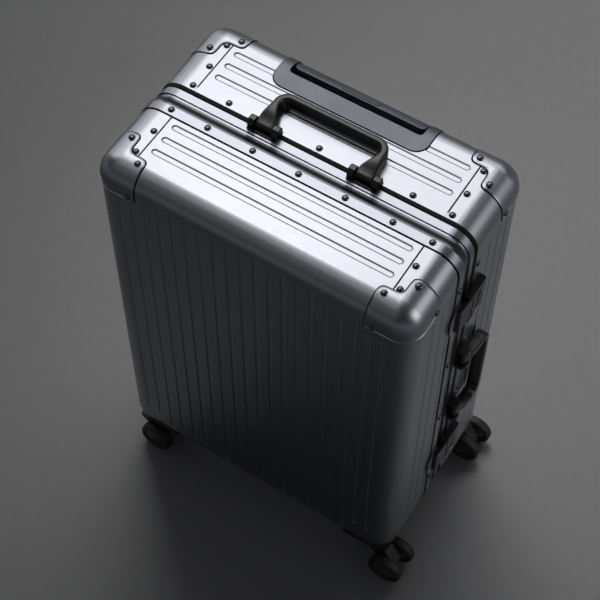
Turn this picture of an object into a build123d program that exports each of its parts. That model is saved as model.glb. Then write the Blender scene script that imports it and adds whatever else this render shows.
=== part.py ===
from build123d import *
import os
from math import atan2, degrees, hypot

# Hard-shell suitcase with an aluminium frame, in millimetres.
# +X is the latch side, -Y the front face, +Z up; the origin is on the floor under the middle.

# Case
width = 440.0
height = 628.0
front_depth = 134.0  # front face to the parting line
rear_depth = 137.0  # parting line to the rear face
sheet = 1.2
outline_r = 32.0  # corner of the case seen from the front
edge_r = 28.0  # fold between a face and its four walls
shell_lift = 62.0  # floor to the underside of the shell

# Clearances
seat_gap = 0.1  # between pieces that are fastened together
run_gap = 0.3  # between pieces that move past each other
pin_gap = 0.05  # radial, a pin in its bore

# Pressed grooves of the two faces and channels of the walls
press_depth = 1.0
press_taper = 62.0
rib_flare = 1.0  # extra half-width of a groove on the inside of the sheet
groove_w = 6.0
groove_pitch = 19.4
groove_count = 20
groove_end = 31.0  # top and bottom of the case to the groove ends
short_grooves = 2  # outer grooves on each side that stop short of the corner guards
short_end = 57.0
channel_w = 9.0
channel_cut = 3.0  # bevel of the channel ends
channel_pitch = 21.0
channel_count = 3
channel_end = 55.0  # side of the case to the channel ends
channel_first_front = 41.5  # parting line to the first channel
channel_first_rear = 50.5
lap_inset = 47.0  # side of the case to the lap seam of the folded tab
lap_w = 0.6
lap_depth = 0.5
lap_reach = 38.0  # face to the end of the lap seam

# Frame sections, measured from the parting line and from the outside of the sheet
flange_w = 29.2
flange_t = 1.4
flange_flat = 15.0  # parting line to the end of the flat of the flange
valley_w = 5.0
valley = 2.6
ogee_bevel = 2.2
part_gap = 0.25  # half of the gap between the two frames
frame_in = 7.5  # inside face of the front frame
lip_reach = 6.0
lip_t = 1.5
web_at = 13.5  # parting line to the front sheet, less a running gap
leg_t = 1.6
band_w = 12.1
band_drop = 0.9
strip_w = 4.3
strip_depth = 2.4
strip_drop = 0.6
rear_leg_reach = 31.0
lip_gap = 0.4

# Corner guards
guard_t = 1.0
guard_long = 62.0
guard_short = 34.0
guard_drop = 41.0
guard_r = 9.0

# Casters
wheel_d = 52.0
wheel_w = 15.0
wheel_chamfer = 3.0
fork_w = 18.0
fork_side_gap = 1.5
fork_hub_r = 11.0
fork_neck_w = 26.0
fork_neck_h = 9.0
trail = 20.0
caster_inset_x = 20.0  # side of the case to the swivel axis
caster_inset_y = 19.5  # face of the case to the swivel axis
stem_r = 6.0
stem_h = 6.0
axle_r = 3.0
housing_drop = 6.0
housing_inset = 6.0  # side and face of the case to the housing
housing_x = 84.0
housing_y = 70.0
housing_cut = 16.0  # bevel of the housing corners

# Feet and hinges on the left side
foot_w = 22.0
foot_cut = 6.0
foot_h = 10.5
foot_taper = 12.0
foot_from_seam = 62.0
foot_from_end = 75.0
hinge_out = 6.0
hinge_r = 4.0
hinge_pin_r = 2.0
hinge_len = 60.0
hinge_mid = 22.0  # middle knuckle
hinge_leaf_t = 1.6
hinge_leaf_w = 27.0
hinge_leaf_start = 5.0
hinge_from_end = 150.0

# Carry handles
ear_t = 8.0
ear_gap = 25.2
ear_h = 14.0
ear_depth = 14.0
ear_chamfer = 4.0
bracket_half = 68.9  # middle of the handle to the middle of a bracket
bracket_plate_t = 1.2
bracket_plate_margin = 1.8
hub_bevel = 2.6
pivot_from_seam = 12.6
pivot_h = 7.0
handle_hub_r = 4.9
handle_pin_r = 2.0
grip_reach = 65.5  # parting line to the far side of the grip
grip_w = 13.0
grip_low = 3.2
grip_high = 18.2
grip_half = 77.5
grip_corner_r = 18.0
grip_inner_r = 8.0
arm_w = 14.0
arm_straight = 5.5  # pivot to the start of the taper of the arm
side_handle_drop = 19.0  # below the middle of the shell

# Latches
latch_from_top = 131.0
latch_from_bottom = 123.0
latch_half_h = 27.0
latch_ear_t = 3.7
latch_out = 9.5
latch_rear = 37.0
latch_front = -2.0
latch_bevel = 2.0
lever_axis_out = 5.5
lever_axis_from_seam = 3.0
lever_hub_r = 3.6
lever_pin_r = 1.5
lever_reach = 24.0
lever_under = 2.6
lever_tip_out = 7.6
lever_toe_l = 8.0
lever_nose = 3.0
dial_r = 4.4
dial_digits = 10
dial_w = 4.6
dial_count = 3
dial_gap = 0.4
dial_shaft_r = 1.3
dial_proud = 0.8
dial_from_seam = 20.0
dial_rise = 8.0  # middle of the latch to the middle of the dials
button_w = 10.0
button_cut = 2.5
button_fall = 12.0  # middle of the latch to the middle of the button
button_h = 6.6
button_proud = 0.7
button_travel = 2.0
keeper_far = 37.0
keeper_half_near = 38.0
keeper_half_far = 14.0

# Pull-out trolley
tray_half = 107.0
tray_from_rear = 58.5
tray_r = 18.0
tray_t = 1.2
tray_drop = 45.0
slot_half = 93.5
slot_r = 6.0
slot_from_rear = 33.9
slot_depth = 26.0
tub_wall = 1.6
tub_floor = 3.0
pull_half = 91.0
pull_from_rear = 23.5
pull_h = 22.0
pull_r = 6.0
push_half = 26.0
push_from_pull = 2.5
push_w = 9.5
push_h = 9.0
push_cut = 2.5
push_proud = 0.6
push_travel = 3.0
tube_half = 75.0
tube_from_rear = 12.0
tube_x = 16.0
tube_y = 8.0
tube_wall = 1.0
tube_cut = 2.0
base_h = 24.0
base_half = 95.0
base_from_rear = 25.0
stage_step = 4.0

# Lining and straps
lining_t = 2.0
lining_gap = 0.3
lining_rim = 1.0
lining_corner = 26.0
lining_fold = 18.0
strap_w = 30.0
strap_t = 1.5
strap_half = 160.0
strap_spread = 190.0

# Places that follow from the sizes
y_front = -(front_depth + rear_depth) / 2
y_rear = (front_depth + rear_depth) / 2
y_seam = y_front + front_depth
z_bottom = shell_lift
z_top = shell_lift + height
z_mid = (z_bottom + z_top) / 2
half_w = width / 2
left_reach = half_w + foot_h
right_reach = half_w - caster_inset_x + trail + wheel_d / 2
x_mid = (left_reach - right_reach) / 2
z_latches = {"upper": z_top - latch_from_top, "lower": z_bottom + latch_from_bottom}
z_hinges = (z_bottom + hinge_from_end, z_top - hinge_from_end)
z_feet = (z_bottom + foot_from_end, z_top - foot_from_end)
casters = {
    "front_left": (-1, -1),
    "front_right": (1, -1),
    "rear_left": (-1, 1),
    "rear_right": (1, 1),
}

os.makedirs("parts", exist_ok=True)


def keep(builder, name):
    """Label a finished piece and write its STEP file."""
    builder.part.label = name
    export_step(builder.part, f"parts/{name}.step")


def level(z):
    """Horizontal plane at a height, centred on the case."""
    return Plane(origin=(x_mid, 0, z))


def upright(y):
    """Plane parallel to the front face: local x along X, local y up, facing the front."""
    return Plane(origin=(x_mid, y, 0), x_dir=(1, 0, 0), z_dir=(0, -1, 0))


def sideways(x):
    """Plane parallel to the latch side: local x along Y, local y up, facing that side."""
    return Plane(origin=(x_mid + x, 0, 0), x_dir=(0, 1, 0), z_dir=(1, 0, 0))


def on_right(out, from_seam):
    """Plan point on the latch side, from its distance out and behind the parting line."""
    return (half_w + out, y_seam + from_seam)


def on_left(out, from_seam):
    """Plan point on the hinge side, from its distance out and behind the parting line."""
    return (-half_w - out, y_seam + from_seam)


def bevelled(long, wide, cut, mode=Mode.ADD):
    """Rectangle with bevelled corners, in the sketch that is open."""
    x = long / 2
    y = wide / 2
    Polygon(
        (-x + cut, -y), (x - cut, -y), (x, -y + cut), (x, y - cut),
        (x - cut, y), (-x + cut, y), (-x, y - cut), (-x, -y + cut),
        align=None,
        mode=mode,
    )


def half_form(y_face, y_open, grow):
    """Rounded form of one half, offset outwards, from its face to an open end."""
    out = 1 if y_face > y_open else -1
    with BuildPart() as form:
        with BuildSketch(upright(y_open)):
            with Locations((0, z_mid)):
                RectangleRounded(width + 2 * grow, height + 2 * grow, outline_r + grow)
        extrude(amount=y_open - y_face - out * grow)
        face = form.faces().sort_by(Axis.Y)[-1 if out > 0 else 0]
        fillet(face.edges(), edge_r + grow)
    return form.part


def tangent_form(y_face, y_open, grow):
    """Plain bevelled form that touches the rounded form of one half from outside."""
    out = 1 if y_face > y_open else -1
    tangent = 2 - 2 ** 0.5
    with BuildPart() as form:
        with BuildSketch(upright(y_open)):
            with Locations((0, z_mid)):
                bevelled(width + 2 * grow, height + 2 * grow, tangent * (outline_r + grow))
        extrude(amount=y_open - y_face - out * grow)
        face = form.faces().sort_by(Axis.Y)[-1 if out > 0 else 0]
        chamfer(face.edges(), tangent * (edge_r + grow))
    return form.part


def face_grooves(y_face, inset, widen):
    """Vertical pressed grooves of a face, as tapered bars that sink into it."""
    out = 1 if y_face > y_seam else -1
    face = Plane(origin=(x_mid, y_face - out * inset, z_mid), x_dir=(1, 0, 0), z_dir=(0, out, 0))
    inner_count = groove_count - 2 * short_grooves
    outer_half = (inner_count + short_grooves) / 2 * groove_pitch
    with BuildPart() as bars:
        with BuildSketch(face):
            with GridLocations(groove_pitch, 0, inner_count, 1):
                Rectangle(groove_w + 2 * widen, height - 2 * groove_end + 2 * widen)
            for middle in (-outer_half, outer_half):
                with Locations((middle, 0)):
                    with GridLocations(groove_pitch, 0, short_grooves, 1):
                        Rectangle(groove_w + 2 * widen, height - 2 * short_end + 2 * widen)
        extrude(amount=-press_depth, taper=press_taper)
    return bars.part


def wall_channels(y_face, inset, widen):
    """Pressed channels of the four walls, as tapered bars that sink into them."""
    out = 1 if y_face > y_seam else -1
    first = channel_first_rear if out > 0 else channel_first_front
    lines = [y_seam + out * (first + i * channel_pitch) for i in range(channel_count)]
    across = width - 2 * channel_end + 2 * widen
    along = height - 2 * channel_end + 2 * widen
    wide = channel_w + 2 * widen
    walls = [
        (Plane(origin=(x_mid, 0, z_top - inset)), across),
        (Plane(origin=(x_mid, 0, z_bottom + inset), x_dir=(1, 0, 0), z_dir=(0, 0, -1)), across),
        (Plane(origin=(x_mid + half_w - inset, 0, z_mid), x_dir=(0, 0, -1), z_dir=(1, 0, 0)), along),
        (Plane(origin=(x_mid - half_w + inset, 0, z_mid), x_dir=(0, 0, 1), z_dir=(-1, 0, 0)), along),
    ]
    with BuildPart() as bars:
        for wall, length in walls:
            with BuildSketch(wall):
                with Locations(*[(0, wall.to_local_coords(Vector(x_mid, y, z_mid)).Y) for y in lines]):
                    bevelled(length, wide, channel_cut)
            extrude(amount=-press_depth, taper=press_taper)
    return bars.part


def lap_seams(y_face):
    """Fine grooves where the side tabs lap the top sheet."""
    out = 1 if y_face > y_seam else -1
    length = abs(y_face - y_seam) - lap_reach
    with BuildPart() as seams:
        with BuildSketch(level(z_top)):
            with Locations(*[(side * (half_w - lap_inset), y_seam + out * length / 2) for side in (-1, 1)]):
                Rectangle(lap_w, length)
        extrude(amount=-lap_depth)
    return seams.part


def corner_guard(y_face, side):
    """Block in the form of a pressed cap over one top corner, with two lobes and a notch."""
    out = 1 if y_face > y_seam else -1
    past = edge_r

    def spot(from_side, from_face):
        return (side * (half_w - from_side), y_face - out * from_face)

    with BuildPart() as guard:
        add(half_form(y_face, y_seam, guard_t))
        with BuildSketch(level(z_top - guard_drop)) as outline:
            with BuildLine():
                Polyline(
                    spot(-past, -past),
                    spot(guard_long, -past),
                    spot(guard_long, guard_short),
                    spot(guard_short, guard_short),
                    spot(guard_short, guard_long),
                    spot(-past, guard_long),
                    close=True,
                )
            make_face()
            fillet(outline.vertices(), guard_r)
        extrude(amount=guard_drop + past, mode=Mode.INTERSECT)
    return guard.part


def pressed_shell(y_face, y_open):
    """One half of the case as a folded sheet with pressed grooves and a guard on each top corner."""
    with BuildPart() as void:
        add(half_form(y_face, y_open, -sheet))
        add(face_grooves(y_face, sheet, rib_flare), mode=Mode.SUBTRACT)
        add(wall_channels(y_face, sheet, rib_flare), mode=Mode.SUBTRACT)
    with BuildPart() as shell:
        add(half_form(y_face, y_open, 0))
        add(face_grooves(y_face, 0, 0), mode=Mode.SUBTRACT)
        add(wall_channels(y_face, 0, 0), mode=Mode.SUBTRACT)
        add(lap_seams(y_face), mode=Mode.SUBTRACT)
        for side in (-1, 1):
            add(corner_guard(y_face, side))
        add(void.part, mode=Mode.SUBTRACT)
    return shell.part


# Front sheet
with BuildPart() as front_shell:
    add(pressed_shell(y_front, y_seam - web_at - run_gap))
keep(front_shell, "front_shell")

# Rear sheet, cut out for the trolley tray
panel_edge = band_w + strip_w
with BuildPart() as rear_shell:
    add(pressed_shell(y_rear, y_seam + panel_edge))
    with BuildSketch(level(z_top - slot_depth - tub_floor - seat_gap)):
        cut_front = y_rear - slot_from_rear - tub_wall - seat_gap
        with Locations((0, (cut_front + y_rear + edge_r) / 2)):
            Rectangle(2 * (slot_half + tub_wall + seat_gap), y_rear + edge_r - cut_front)
    extrude(amount=slot_depth + tub_floor + edge_r, mode=Mode.SUBTRACT)
keep(rear_shell, "rear_shell")

# Frame path: the outline of the case at the parting line
with BuildLine(upright(y_seam)) as frame_loop:
    FilletPolyline(
        (-half_w, z_top), (half_w, z_top), (half_w, z_bottom), (-half_w, z_bottom),
        radius=outline_r,
        close=True,
    )
frame_path = frame_loop.wires()[0]
# Section plane of the frames: local x behind the parting line, local y out of the case
frame_section = Plane(origin=frame_path @ 0, x_dir=(0, 1, 0), z_dir=frame_path % 0)

# Front frame: a flange over the sheet, a softened slope to the valley and a lip into the rear frame
with BuildPart() as front_frame:
    flange_top = seat_gap + flange_t
    with BuildSketch(frame_section) as section:
        with BuildLine():
            Polyline(
                (-flange_flat, flange_top),
                (-flange_w, flange_top),
                (-flange_w, seat_gap),
                (-web_at, seat_gap),
                (-web_at, -frame_in),
                (lip_reach, -frame_in),
                (lip_reach, -frame_in + lip_t),
                (-part_gap, -frame_in + lip_t),
                (-part_gap, -valley),
                (-valley_w, -valley),
                close=True,
            )
        make_face()
        slope_ends = [
            v for v in section.vertices()
            if abs(v.X + flange_flat) < part_gap or abs(v.X + valley_w) < part_gap
        ]
        chamfer(slope_ends, ogee_bevel)
    sweep(path=frame_path)
keep(front_frame, "front_frame")

# Rear frame: a band, a groove for the strip and a leg under the rear sheet
with BuildPart() as rear_frame:
    rear_in = -frame_in + lip_t + lip_gap
    groove_floor = -band_drop - strip_depth
    leg_top = -sheet - seat_gap
    with BuildSketch(frame_section):
        with BuildLine():
            Polyline(
                (part_gap, rear_in),
                (part_gap, -band_drop),
                (band_w, -band_drop),
                (band_w, groove_floor),
                (panel_edge, groove_floor),
                (panel_edge, leg_top),
                (rear_leg_reach, leg_top),
                (rear_leg_reach, leg_top - leg_t),
                (panel_edge, rear_in),
                close=True,
            )
        make_face()
    sweep(path=frame_path)
keep(rear_frame, "rear_frame")

# Black strip in the groove of the rear frame
with BuildPart() as frame_strip:
    with BuildSketch(frame_section):
        with Locations((band_w + strip_w / 2, groove_floor + seat_gap)):
            Rectangle(
                strip_w - 2 * seat_gap,
                strip_depth + band_drop - strip_drop - seat_gap,
                align=(Align.CENTER, Align.MIN),
            )
    sweep(path=frame_path)
keep(frame_strip, "frame_strip")


# Carry handles: the same pieces on the top and on the latch side
top_base = Plane(origin=(x_mid, y_seam, z_top))
side_base = Plane(
    origin=(x_mid + half_w, y_seam, z_mid - side_handle_drop), x_dir=(0, 0, -1), z_dir=(1, 0, 0)
)


def cross_plane(base, along):
    """Plane across a handle: local x behind the parting line, local y out of the case."""
    return Plane(origin=base.from_local_coords((along, 0, 0)), x_dir=base.y_dir, z_dir=base.x_dir)


def handle_brackets(base):
    """Two clevis brackets, each a plate with two chamfered ears and a riveted pivot pin."""
    plate_x = ear_gap + 2 * ear_t
    plate_y = ear_depth + 2 * bracket_plate_margin
    with BuildPart() as brackets:
        with BuildSketch(base.offset(seat_gap)):
            with Locations((-bracket_half, pivot_from_seam), (bracket_half, pivot_from_seam)):
                Rectangle(plate_x, plate_y)
        extrude(amount=bracket_plate_t)
        for middle in (-bracket_half, bracket_half):
            for inner_face in (middle - ear_gap / 2 - ear_t, middle + ear_gap / 2):
                with BuildSketch(cross_plane(base, inner_face)) as ear:
                    with Locations((pivot_from_seam, seat_gap)):
                        Rectangle(ear_depth, ear_h - seat_gap, align=(Align.CENTER, Align.MIN))
                    chamfer(ear.vertices().group_by(Axis.Y)[-1], ear_chamfer)
                extrude(amount=ear_t)
            with BuildSketch(cross_plane(base, middle - ear_gap / 2)):
                with Locations((pivot_from_seam, pivot_h)):
                    Circle(handle_pin_r)
            extrude(amount=ear_gap)
    return brackets


def handle_bail(base):
    """Folding handle: its side profile crossed with its plan."""
    hub_half = ear_gap / 2 - run_gap
    hub_out = bracket_half + hub_half
    hub_in = bracket_half - hub_half
    taper_start = pivot_from_seam + arm_straight
    grip_near = grip_reach - grip_w
    with BuildPart() as bail:
        with BuildSketch(cross_plane(base, -hub_out)) as profile:
            with Locations((pivot_from_seam, pivot_h)):
                bevelled(2 * handle_hub_r, 2 * handle_hub_r, hub_bevel)
            with BuildLine():
                Polyline(
                    (pivot_from_seam, pivot_h - handle_hub_r),
                    (grip_near, grip_low),
                    (grip_reach, grip_low),
                    (grip_reach, grip_high),
                    (grip_near, grip_high),
                    (pivot_from_seam, pivot_h + handle_hub_r),
                    close=True,
                )
            make_face()
            fillet(profile.vertices().sort_by(Axis.X)[-2:], grip_w / 3)
            with Locations((pivot_from_seam, pivot_h)):
                Circle(handle_pin_r + pin_gap, mode=Mode.SUBTRACT)
        extrude(amount=2 * hub_out)
        with BuildSketch(base) as plan:
            with BuildLine():
                Polyline(
                    (-hub_out, 0), (-hub_out, taper_start), (-grip_half, grip_reach),
                    (grip_half, grip_reach), (hub_out, taper_start), (hub_out, 0),
                    close=True,
                )
            make_face()
            fillet(plan.vertices().sort_by(Axis.Y)[-2:], grip_corner_r)
            with BuildLine():
                Polyline(
                    (-hub_in, 0), (-hub_in, taper_start), (-grip_half + arm_w, grip_near),
                    (grip_half - arm_w, grip_near), (hub_in, taper_start), (hub_in, 0),
                    close=True,
                )
            make_face(mode=Mode.SUBTRACT)
            inside = plan.vertices().filter_by_position(Axis.Y, grip_near - pin_gap, grip_near + pin_gap)
            fillet(inside, grip_inner_r)
        extrude(amount=grip_high + handle_hub_r, mode=Mode.INTERSECT)
    return bail


for place, base in (("top", top_base), ("side", side_base)):
    keep(handle_brackets(base), f"{place}_handle_brackets")
    keep(handle_bail(base), f"{place}_handle")

def latch_body(z):
    """Lock case on the rear half: ears and a pin for the lever, a shaft for the dials, a button well."""
    notch_half = latch_half_h - latch_ear_t
    window = dial_count * dial_w + (dial_count + 1) * dial_gap
    dial_axis = latch_out + dial_proud - dial_r
    z_dials = z + dial_rise
    with BuildPart() as body:
        with BuildSketch(level(z - latch_half_h)) as outline:
            with BuildLine():
                Polyline(
                    on_right(seat_gap, latch_front), on_right(seat_gap, latch_rear),
                    on_right(latch_out, latch_rear), on_right(latch_out, latch_front),
                    close=True,
                )
            make_face()
            chamfer(outline.vertices().group_by(Axis.X)[-1], latch_bevel)
        extrude(amount=2 * latch_half_h)
        notch_back = lever_axis_from_seam + lever_hub_r + run_gap
        with BuildSketch(level(z - notch_half)):
            with Locations(on_right(0, notch_back)):
                Rectangle(2 * latch_out, 2 * latch_rear, align=(Align.MIN, Align.MAX))
        extrude(amount=2 * notch_half, mode=Mode.SUBTRACT)
        with BuildSketch(level(z - notch_half)):
            with Locations(on_right(lever_axis_out, lever_axis_from_seam)):
                Circle(lever_pin_r)
        extrude(amount=2 * notch_half)
        with BuildSketch(level(z_dials - window / 2)):
            with Locations(on_right(dial_axis - dial_r - run_gap, dial_from_seam)):
                Rectangle(latch_out, 2 * (dial_r + run_gap), align=(Align.MIN, Align.CENTER))
        extrude(amount=window, mode=Mode.SUBTRACT)
        with BuildSketch(level(z_dials - window / 2)):
            with Locations(on_right(dial_axis, dial_from_seam)):
                Circle(dial_shaft_r)
        extrude(amount=window)
        with BuildSketch(sideways(half_w + latch_out)):
            with Locations((y_seam + dial_from_seam, z - button_fall)):
                bevelled(button_w + 2 * run_gap, button_w + 2 * run_gap, button_cut)
        extrude(amount=-button_h - run_gap, mode=Mode.SUBTRACT)
    return body


def latch_lever(z):
    """Hinged hasp that reaches over the parting line to the keeper."""
    half = latch_half_h - latch_ear_t - run_gap
    toe_under = flange_top + seat_gap + flange_t + run_gap
    with BuildPart() as lever:
        with BuildSketch(level(z - half)):
            with Locations(on_right(lever_axis_out, lever_axis_from_seam)):
                RegularPolygon(lever_hub_r, 8, major_radius=False, rotation=22.5)
            with BuildLine():
                Polyline(
                    on_right(lever_axis_out + lever_hub_r, lever_axis_from_seam),
                    on_right(lever_tip_out, -lever_reach + lever_nose),
                    on_right(lever_tip_out - lever_nose, -lever_reach),
                    on_right(toe_under, -lever_reach),
                    on_right(toe_under, -lever_reach + lever_toe_l),
                    on_right(lever_under, -lever_reach + lever_toe_l),
                    on_right(lever_under, lever_axis_from_seam - lever_hub_r),
                    on_right(lever_axis_out, lever_axis_from_seam),
                    close=True,
                )
            make_face()
            with Locations(on_right(lever_axis_out, lever_axis_from_seam)):
                Circle(lever_pin_r + pin_gap, mode=Mode.SUBTRACT)
        extrude(amount=2 * half)
    return lever


for place, z in z_latches.items():
    keep(latch_body(z), f"{place}_latch_body")
    keep(latch_lever(z), f"{place}_latch_lever")
    dial_axis_out = latch_out + dial_proud - dial_r
    first_dial = z + dial_rise - (dial_count - 1) / 2 * (dial_w + dial_gap)
    for i in range(dial_count):
        with BuildPart() as dial:
            with BuildSketch(level(first_dial + i * (dial_w + dial_gap) - dial_w / 2)):
                with Locations(on_right(dial_axis_out, dial_from_seam)):
                    RegularPolygon(dial_r, dial_digits)
                    RegularPolygon(dial_shaft_r + pin_gap, 6, major_radius=False, mode=Mode.SUBTRACT)
            extrude(amount=dial_w)
        keep(dial, f"{place}_latch_dial_{i + 1}")
    with BuildPart() as latch_button:
        with BuildSketch(sideways(half_w + latch_out + button_proud)):
            with Locations((y_seam + dial_from_seam, z - button_fall)):
                bevelled(button_w, button_w, button_cut)
        extrude(amount=button_travel - button_h - button_proud)
    keep(latch_button, f"{place}_latch_button")

# Keeper plates on the front flange, under the tips of the levers
keeper_near = lever_reach - lever_toe_l + run_gap
with BuildPart() as keepers:
    for z in z_latches.values():
        with BuildSketch(sideways(half_w + flange_top + seat_gap)):
            with BuildLine():
                Polyline(
                    (y_seam - keeper_near, z - keeper_half_near),
                    (y_seam - keeper_near, z + keeper_half_near),
                    (y_seam - keeper_far, z + keeper_half_far),
                    (y_seam - keeper_far, z - keeper_half_far),
                    close=True,
                )
            make_face()
        extrude(amount=flange_t)
keep(keepers, "latch_keepers")

def hinge_leaves(leaf_low, out, spans, bore):
    """Hinge leaves of one half, with knuckles over the given spans of the hinge length."""
    with BuildPart() as leaves:
        for z in z_hinges:
            with BuildSketch(level(z - hinge_len / 2)):
                with Locations(on_left(leaf_low, out * hinge_leaf_start)):
                    across = Align.MIN if out > 0 else Align.MAX
                    Rectangle(hinge_leaf_t, hinge_leaf_w, align=(Align.MAX, across))
            extrude(amount=hinge_len)
            for low, high in spans:
                with BuildSketch(level(z + low)):
                    with Locations(on_left(hinge_out, 0)):
                        RegularPolygon(hinge_r, 8, major_radius=False, rotation=22.5)
                    with BuildLine():
                        Polyline(
                            on_left(leaf_low, out * hinge_leaf_start),
                            on_left(leaf_low + hinge_leaf_t, out * (hinge_leaf_start + hinge_r)),
                            on_left(hinge_out + hinge_r / 2, 0),
                            on_left(hinge_out - hinge_r / 2, 0),
                            close=True,
                        )
                    make_face()
                    if bore > 0:
                        with Locations(on_left(hinge_out, 0)):
                            Circle(bore, mode=Mode.SUBTRACT)
                extrude(amount=high - low)
            if bore == 0:
                with BuildSketch(level(z - hinge_len / 2)):
                    with Locations(on_left(hinge_out, 0)):
                        Circle(hinge_pin_r)
                extrude(amount=hinge_len)
    return leaves


# Hinges: two outer knuckles with a fast pin on the rear half, one middle knuckle on the front half
outer_end = hinge_mid / 2 + run_gap
rear_spans = ((-hinge_len / 2, -outer_end), (outer_end, hinge_len / 2))
front_spans = ((-hinge_mid / 2, hinge_mid / 2),)
keep(hinge_leaves(seat_gap, 1, rear_spans, 0), "rear_hinge_leaves")
keep(hinge_leaves(flange_top + seat_gap, -1, front_spans, hinge_pin_r + pin_gap), "front_hinge_leaves")

# Feet that the case stands on when it lies on its hinge side
for half, out in (("front", -1), ("rear", 1)):
    with BuildPart() as side_feet:
        with BuildSketch(sideways(-half_w - seat_gap)):
            with Locations(*[(y_seam + out * foot_from_seam, z) for z in z_feet]):
                bevelled(foot_w, foot_w, foot_cut)
        extrude(amount=seat_gap - foot_h, taper=foot_taper)
    keep(side_feet, f"{half}_side_feet")

# Casters: a housing in each bottom corner, a swivel fork and a pair of wheels on an axle
swivel_x = half_w - caster_inset_x
swivel_y = y_rear - caster_inset_y
housing_low = z_bottom - housing_drop
fork_top = housing_low - run_gap
wheel_r = wheel_d / 2
wheel_in = fork_w / 2 + fork_side_gap

for half, out in (("front", -1), ("rear", 1)):
    with BuildPart() as wheel_housings:
        with BuildSketch(level(housing_low)):
            housing_mid_x = half_w - housing_inset - housing_x / 2
            housing_mid_y = out * (y_rear - housing_inset - housing_y / 2)
            with Locations((-housing_mid_x, housing_mid_y), (housing_mid_x, housing_mid_y)):
                bevelled(housing_x, housing_y, housing_cut)
        extrude(amount=housing_drop + edge_r)
        add(tangent_form(out * y_rear, y_seam, seat_gap), mode=Mode.SUBTRACT)
        with BuildSketch(level(housing_low)):
            with Locations((-swivel_x, out * swivel_y), (swivel_x, out * swivel_y)):
                Circle(stem_r + run_gap)
        extrude(amount=stem_h, mode=Mode.SUBTRACT)
    keep(wheel_housings, f"{half}_wheel_housings")

for name, (side, out) in casters.items():
    axle_at = (side * swivel_x + trail, wheel_r)
    with BuildPart() as fork:
        with BuildSketch(upright(out * swivel_y + fork_w / 2)):
            with Locations((side * swivel_x, fork_top)):
                Rectangle(fork_neck_w, fork_neck_h, align=(Align.CENTER, Align.MAX))
            with Locations(axle_at):
                RegularPolygon(fork_hub_r, 8, major_radius=False, rotation=22.5)
            make_hull()
            with Locations(axle_at):
                Circle(axle_r + run_gap, mode=Mode.SUBTRACT)
        extrude(amount=fork_w)
        with BuildSketch(level(fork_top)):
            with Locations((side * swivel_x, out * swivel_y)):
                Circle(stem_r)
        extrude(amount=stem_h)
    keep(fork, f"{name}_fork")

    with BuildPart() as wheels:
        with BuildSketch(upright(out * swivel_y + wheel_in)):
            with Locations(axle_at):
                Circle(axle_r)
        extrude(amount=2 * wheel_in)
        for near in (wheel_in + wheel_w, -wheel_in):
            with BuildSketch(upright(out * swivel_y + near)):
                with Locations(axle_at):
                    Circle(wheel_r)
            extrude(amount=wheel_w)
        rims = wheels.edges().filter_by(GeomType.CIRCLE).group_by(SortBy.RADIUS)[-1].sort_by(Axis.Y)
        chamfer([rims[0], rims[-1]], wheel_chamfer)
    keep(wheels, f"{name}_wheels")

# Trolley: a tray over the rear top edge with a tub for the grip
slot_front = y_rear - slot_from_rear
tub_low = z_top - slot_depth - tub_floor
beyond = y_rear + edge_r


def plan_block(half, front, low, high, corner):
    """Upright block from a front line to beyond the rear face, its front corners rounded."""
    with BuildPart() as block:
        with BuildSketch(level(low)) as outline:
            with Locations((0, front)):
                Rectangle(2 * half, beyond - front, align=(Align.CENTER, Align.MIN))
            if corner > 0:
                fillet(outline.vertices().group_by(Axis.Y)[0], corner)
        extrude(amount=high - low)
    return block.part


def tube_bar(grow, low, high):
    """Both tubes of one trolley stage as bars, grown from the inner tube."""
    with BuildPart() as bars:
        with BuildSketch(level(low)):
            with Locations(*[(side * tube_half, y_rear - tube_from_rear) for side in (-1, 1)]):
                bevelled(tube_x + 2 * grow, tube_y + 2 * grow, tube_cut)
        extrude(amount=high - low)
    return bars.part


mid_bore = run_gap
mid_out = mid_bore + tube_wall
sleeve_bore = mid_out + run_gap
sleeve_out = sleeve_bore + tube_wall
floor_top = z_top - slot_depth
sleeve_low = z_bottom + base_h + seat_gap
pull_low = z_top - pull_h

with BuildPart() as trolley_tray:
    tray_form = half_form(y_rear, y_seam, seat_gap + tray_t)
    add(plan_block(tray_half, y_rear - tray_from_rear, z_top - tray_drop, z_top + edge_r, tray_r))
    add(half_form(y_rear, y_seam, seat_gap), mode=Mode.SUBTRACT)
    add(plan_block(slot_half + tub_wall, slot_front - tub_wall, tub_low, z_top + edge_r, 0))
    add(tray_form, mode=Mode.INTERSECT)
    add(plan_block(slot_half, slot_front, floor_top, z_top + edge_r, slot_r), mode=Mode.SUBTRACT)
    add(tube_bar(sleeve_bore, tub_low, z_top), mode=Mode.SUBTRACT)
keep(trolley_tray, "trolley_tray")

# Three stages of telescopic tube
with BuildPart() as trolley_sleeves:
    add(tube_bar(sleeve_out, sleeve_low, tub_low - seat_gap))
    add(tube_bar(sleeve_bore, sleeve_low, tub_low), mode=Mode.SUBTRACT)
keep(trolley_sleeves, "trolley_sleeves")

with BuildPart() as trolley_mid_tubes:
    add(tube_bar(mid_out, sleeve_low + stage_step, floor_top))
    add(tube_bar(mid_bore, sleeve_low + stage_step, floor_top), mode=Mode.SUBTRACT)
keep(trolley_mid_tubes, "trolley_mid_tubes")

with BuildPart() as trolley_inner_tubes:
    add(tube_bar(0, sleeve_low + 2 * stage_step, pull_low - seat_gap))
    add(tube_bar(-tube_wall, sleeve_low + 2 * stage_step, pull_low), mode=Mode.SUBTRACT)
keep(trolley_inner_tubes, "trolley_inner_tubes")

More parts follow.
